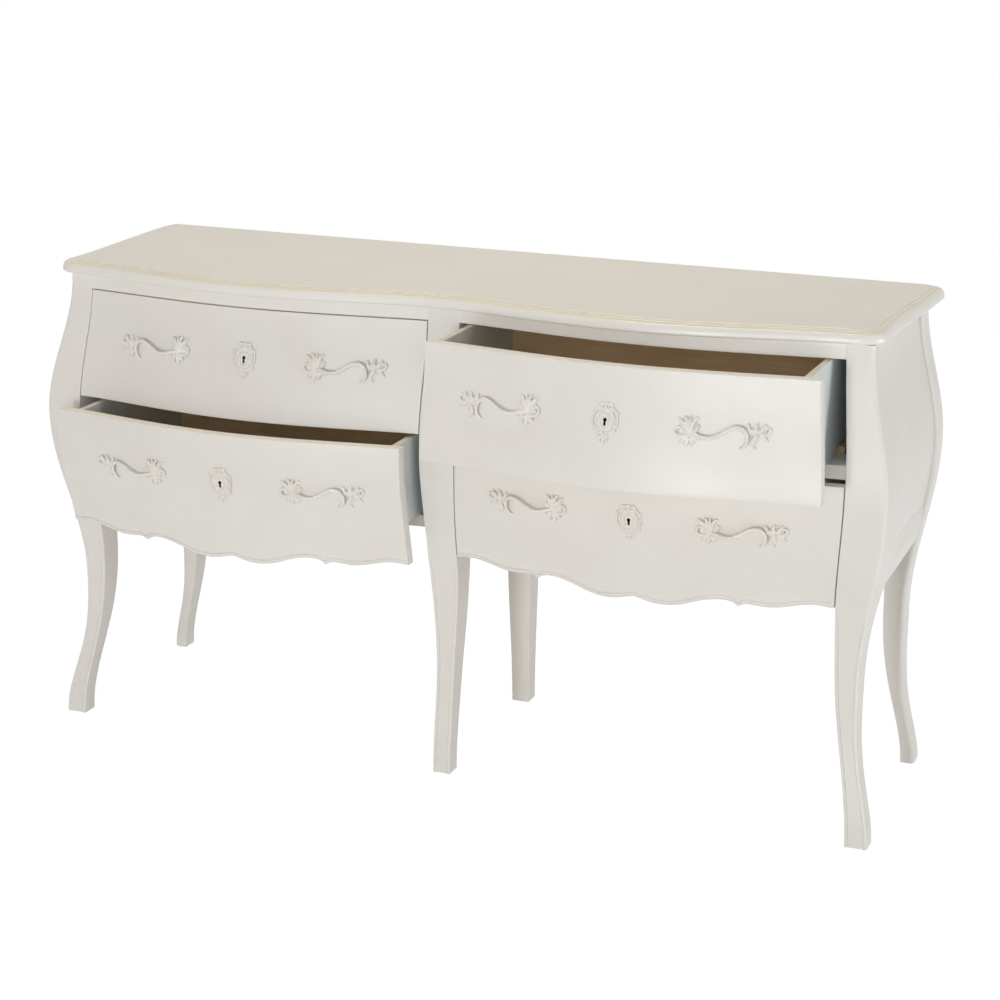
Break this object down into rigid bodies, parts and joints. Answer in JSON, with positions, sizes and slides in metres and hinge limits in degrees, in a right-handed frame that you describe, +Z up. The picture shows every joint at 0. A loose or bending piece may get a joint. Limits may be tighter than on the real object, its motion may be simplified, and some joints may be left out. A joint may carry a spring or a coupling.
{
  "type": "double chest of drawers",
  "caption": "White-painted double chest of drawers with a serpentine, bellied front, scalloped lower edge, tall curved legs, sliding drawers, scrolled pulls and open keyholes.",
  "frame": {"origin": "middle of the outer box in plan, on the floor, with the drawers as in the picture", "axes": "+X along the length towards the right-hand bay, +Y to the back, +Z up; the drawers open towards -Y"},
  "size_m": [1.443, 0.5818, 0.8],
  "materials": {
    "top_paint": "satin warm beige paint",
    "white_paint": "satin off-white paint",
    "side_paint": "thin matt white paint",
    "fitting_paint": "satin off-white paint on a casting",
    "inner_wood": "plain brown wood",
    "lock_metal": "plain steel"
  },
  "bodies": {
    "case": {"back_panel": "inner_wood", "bottom_rail_left": "white_paint", "bottom_rail_right": "white_paint", "centre_partition": "inner_wood", "divider_rail_left": "white_paint", "divider_rail_right": "white_paint", "leg_front_left": "white_paint", "leg_front_middle": "white_paint", "leg_front_right": "white_paint", "leg_rear_left": "white_paint", "leg_rear_middle": "white_paint", "leg_rear_right": "white_paint", "runner_frame_lower_left": "inner_wood", "runner_frame_lower_right": "inner_wood", "runner_frame_upper_left": "inner_wood", "runner_frame_upper_right": "inner_wood", "side_panel_left": "white_paint", "side_panel_right": "white_paint", "side_rail_left": "white_paint", "side_rail_right": "white_paint", "top_board": "top_paint", "top_rail_left": "white_paint", "top_rail_right": "white_paint"},
    "drawer_upper_left": {"drawer_upper_left_back": "inner_wood", "drawer_upper_left_bottom": "inner_wood", "drawer_upper_left_front": "white_paint", "drawer_upper_left_side_left": "side_paint", "drawer_upper_left_side_right": "side_paint", "escutcheon_upper_left": "fitting_paint", "lock_upper_left": "lock_metal", "pull_upper_left_left": "fitting_paint", "pull_upper_left_right": "fitting_paint"},
    "drawer_upper_right": {"drawer_upper_right_back": "inner_wood", "drawer_upper_right_bottom": "inner_wood", "drawer_upper_right_front": "white_paint", "drawer_upper_right_side_left": "side_paint", "drawer_upper_right_side_right": "side_paint", "escutcheon_upper_right": "fitting_paint", "lock_upper_right": "lock_metal", "pull_upper_right_left": "fitting_paint", "pull_upper_right_right": "fitting_paint"},
    "drawer_lower_left": {"drawer_lower_left_back": "inner_wood", "drawer_lower_left_bottom": "inner_wood", "drawer_lower_left_front": "white_paint", "drawer_lower_left_side_left": "side_paint", "drawer_lower_left_side_right": "side_paint", "escutcheon_lower_left": "fitting_paint", "lock_lower_left": "lock_metal", "pull_lower_left_left": "fitting_paint", "pull_lower_left_right": "fitting_paint"},
    "drawer_lower_right": {"drawer_lower_right_back": "inner_wood", "drawer_lower_right_bottom": "inner_wood", "drawer_lower_right_front": "white_paint", "drawer_lower_right_side_left": "side_paint", "drawer_lower_right_side_right": "side_paint", "escutcheon_lower_right": "fitting_paint", "lock_lower_right": "lock_metal", "pull_lower_right_left": "fitting_paint", "pull_lower_right_right": "fitting_paint"}
  },
  "joints": [
    {"name": "drawer_upper_left_slide", "type": "slide", "parent": "case", "child": "drawer_upper_left", "axis": [0, -1, 0], "range_m": [0, 0.23]},
    {"name": "drawer_upper_right_slide", "type": "slide", "parent": "case", "child": "drawer_upper_right", "axis": [0, -1, 0], "range_m": [-0.13, 0.1]},
    {"name": "drawer_lower_left_slide", "type": "slide", "parent": "case", "child": "drawer_lower_left", "axis": [0, -1, 0], "range_m": [-0.07, 0.16]},
    {"name": "drawer_lower_right_slide", "type": "slide", "parent": "case", "child": "drawer_lower_right", "axis": [0, -1, 0], "range_m": [0, 0.23]}
  ]
}
